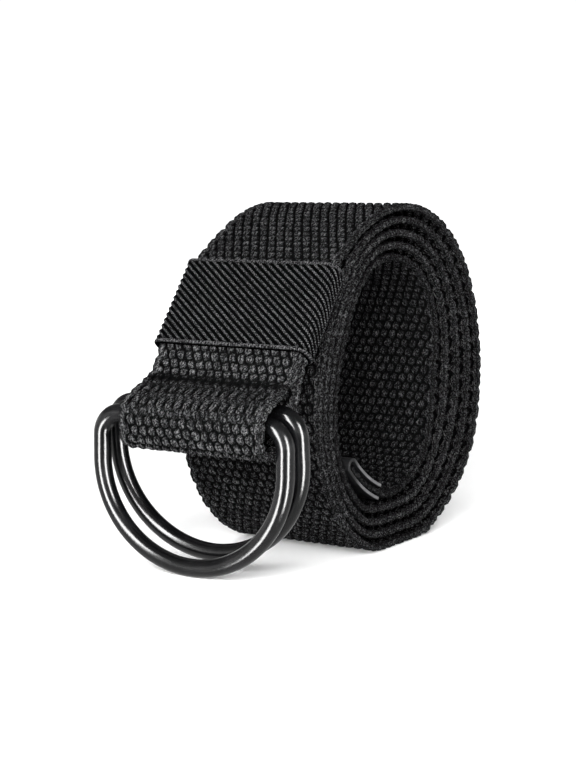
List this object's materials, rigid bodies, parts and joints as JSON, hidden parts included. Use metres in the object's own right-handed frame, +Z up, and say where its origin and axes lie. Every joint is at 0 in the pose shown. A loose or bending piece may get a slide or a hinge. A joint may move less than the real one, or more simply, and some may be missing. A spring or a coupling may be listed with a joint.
{
  "type": "d-ring belt",
  "caption": "Rolled web belt with metal rings hanging in a sewn loop, an elastic keeper over the fold and a metal end tip inside the roll.",
  "frame": {"origin": "on the floor at the roll's flat underside, half way across the webbing", "axes": "+X away from the rings, +Y along the roll's axis and across the webbing, +Z up"},
  "size_m": [0.0984, 0.0535, 0.0803],
  "materials": {
    "woven_webbing": "matt plain-woven cotton",
    "woven_elastic": "fine twill with a slight sheen",
    "ring_metal": "glossy black",
    "tip_metal": "satin black, slightly worn"
  },
  "bodies": {
    "belt": {"belt_webbing": "woven_webbing", "elastic_band": "woven_elastic", "end_tip": "tip_metal"},
    "front_ring": {"d_ring_front": "ring_metal"},
    "rear_ring": {"d_ring_rear": "ring_metal"}
  },
  "joints": [
    {"name": "front_ring_hinge", "type": "hinge", "parent": "belt", "child": "front_ring", "pos_m": [-0.0498, 0.0038, 0.0346], "axis": [0, 1, 0], "range_deg": [0, 150]},
    {"name": "rear_ring_hinge", "type": "hinge", "parent": "belt", "child": "rear_ring", "pos_m": [-0.04585, 0.0031, 0.0367], "axis": [0, -1, 0], "range_deg": [0, 26]}
  ]
}
